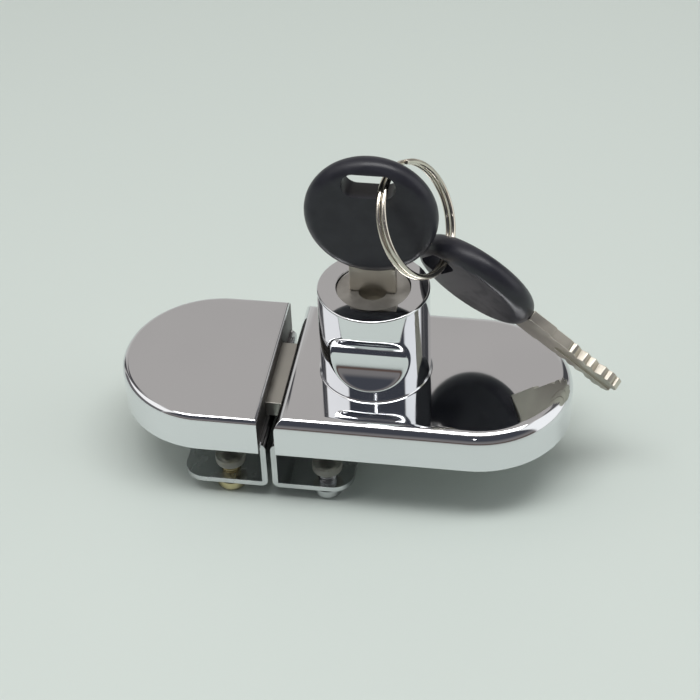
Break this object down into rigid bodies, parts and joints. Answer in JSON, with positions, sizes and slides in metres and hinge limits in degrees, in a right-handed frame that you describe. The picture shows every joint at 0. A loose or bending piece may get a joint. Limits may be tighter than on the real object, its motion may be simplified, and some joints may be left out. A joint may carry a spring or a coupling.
{
  "type": "glass cabinet door lock",
  "caption": "Clamp-on lock for paired glass cabinet doors: round-ended chrome covers, a keyed boss that throws a flat bolt, clamp brackets, and two keys on a split ring.",
  "frame": {"origin": "on the key axis, at the underside of the lock half's glass pad, which sits on the glass", "axes": "+Z out of the door along the key, +X along the lock half to its round end, +Y across the lock; the strike half lies at -X"},
  "size_m": [0.1059, 0.04, 0.076],
  "materials": {
    "chrome_plate": "polished chrome on a zinc casting",
    "bracket_steel": "bright plated sheet steel",
    "bolt_steel": "plated steel, fine drawn",
    "screw_steel": "bright plated steel",
    "yellow_zinc": "yellow zinc plate",
    "clear_pad": "soft translucent pad",
    "white_nylon": "moulded nylon",
    "cylinder_brass": "machined",
    "spring_steel": "spring steel",
    "satin_nickel": "satin nickel",
    "key_nickel": "nickel plate, milled",
    "ring_nickel": "nickel plated wire",
    "black_plastic": "moulded plastic, satin"
  },
  "bodies": {
    "lock_body": {"lock_cover": "chrome_plate", "lock_bracket": "bracket_steel", "lock_bracket_screws": "screw_steel", "lock_glass_pad": "clear_pad", "cylinder_housing": "cylinder_brass", "cylinder_retaining_ring": "spring_steel"},
    "plug": {"cylinder_plug": "satin_nickel", "wafers": "cylinder_brass", "wafer_springs": "spring_steel", "drive_cam": "screw_steel", "cam_screw": "screw_steel"},
    "bolt": {"bolt": "bolt_steel"},
    "key": {"key_blade": "key_nickel", "key_bow": "black_plastic"},
    "ring": {"split_ring": "ring_nickel"},
    "spare_key": {"spare_key_blade": "key_nickel", "spare_key_bow": "black_plastic"},
    "strike": {"strike_cover": "chrome_plate", "strike_bracket": "bracket_steel", "strike_bracket_screws": "screw_steel", "strike_glass_pad": "clear_pad"},
    "lock_front_clamp": {"lock_front_clamp_screw": "screw_steel", "lock_front_pressure_pad": "white_nylon"},
    "lock_back_clamp": {"lock_back_clamp_screw": "screw_steel", "lock_back_pressure_pad": "white_nylon"},
    "strike_front_clamp": {"strike_front_clamp_screw": "yellow_zinc", "strike_front_pressure_pad": "white_nylon"},
    "strike_back_clamp": {"strike_back_clamp_screw": "yellow_zinc", "strike_back_pressure_pad": "white_nylon"}
  },
  "joints": [
    {"name": "key_turn", "type": "hinge", "parent": "lock_body", "child": "plug", "pos_m": [0, 0, 0.0304], "axis": [0, 0, 1], "range_deg": [0, 90]},
    {"name": "bolt_throw", "type": "slide", "parent": "lock_body", "child": "bolt", "axis": [1, 0, 0], "range_m": [0, 0.0102]},
    {"name": "key_pull", "type": "slide", "parent": "plug", "child": "key", "axis": [0, 0, 1], "range_m": [0, 0.02]},
    {"name": "ring_swing", "type": "hinge", "parent": "key", "child": "ring", "pos_m": [0.0031, 0, 0.05739], "axis": [-0.1733, -0.9506, -0.2575], "range_deg": [0, 40]},
    {"name": "spare_key_swing", "type": "hinge", "parent": "ring", "child": "spare_key", "pos_m": [0.01471, 0.00406, 0.03774], "axis": [-0.1383, -0.9384, -0.3167], "range_deg": [0, 15]},
    {"name": "strike_part", "type": "slide", "parent": "lock_body", "child": "strike", "axis": [-1, 0, 0], "range_m": [0, 0.015]},
    {"name": "lock_front_clamp_feed", "type": "slide", "parent": "lock_body", "child": "lock_front_clamp", "axis": [0, 0, 1], "range_m": [-0.002, 0.0006]},
    {"name": "lock_back_clamp_feed", "type": "slide", "parent": "lock_body", "child": "lock_back_clamp", "axis": [0, 0, 1], "range_m": [-0.002, 0.0006]},
    {"name": "strike_front_clamp_feed", "type": "slide", "parent": "strike", "child": "strike_front_clamp", "axis": [0, 0, 1], "range_m": [-0.002, 0.0006]},
    {"name": "strike_back_clamp_feed", "type": "slide", "parent": "strike", "child": "strike_back_clamp", "axis": [0, 0, 1], "range_m": [-0.002, 0.0006]}
  ],
  "couplings": [
    {"joint": "bolt_throw", "follows": "key_turn", "m_per_rad": 0.0064935}
  ]
}
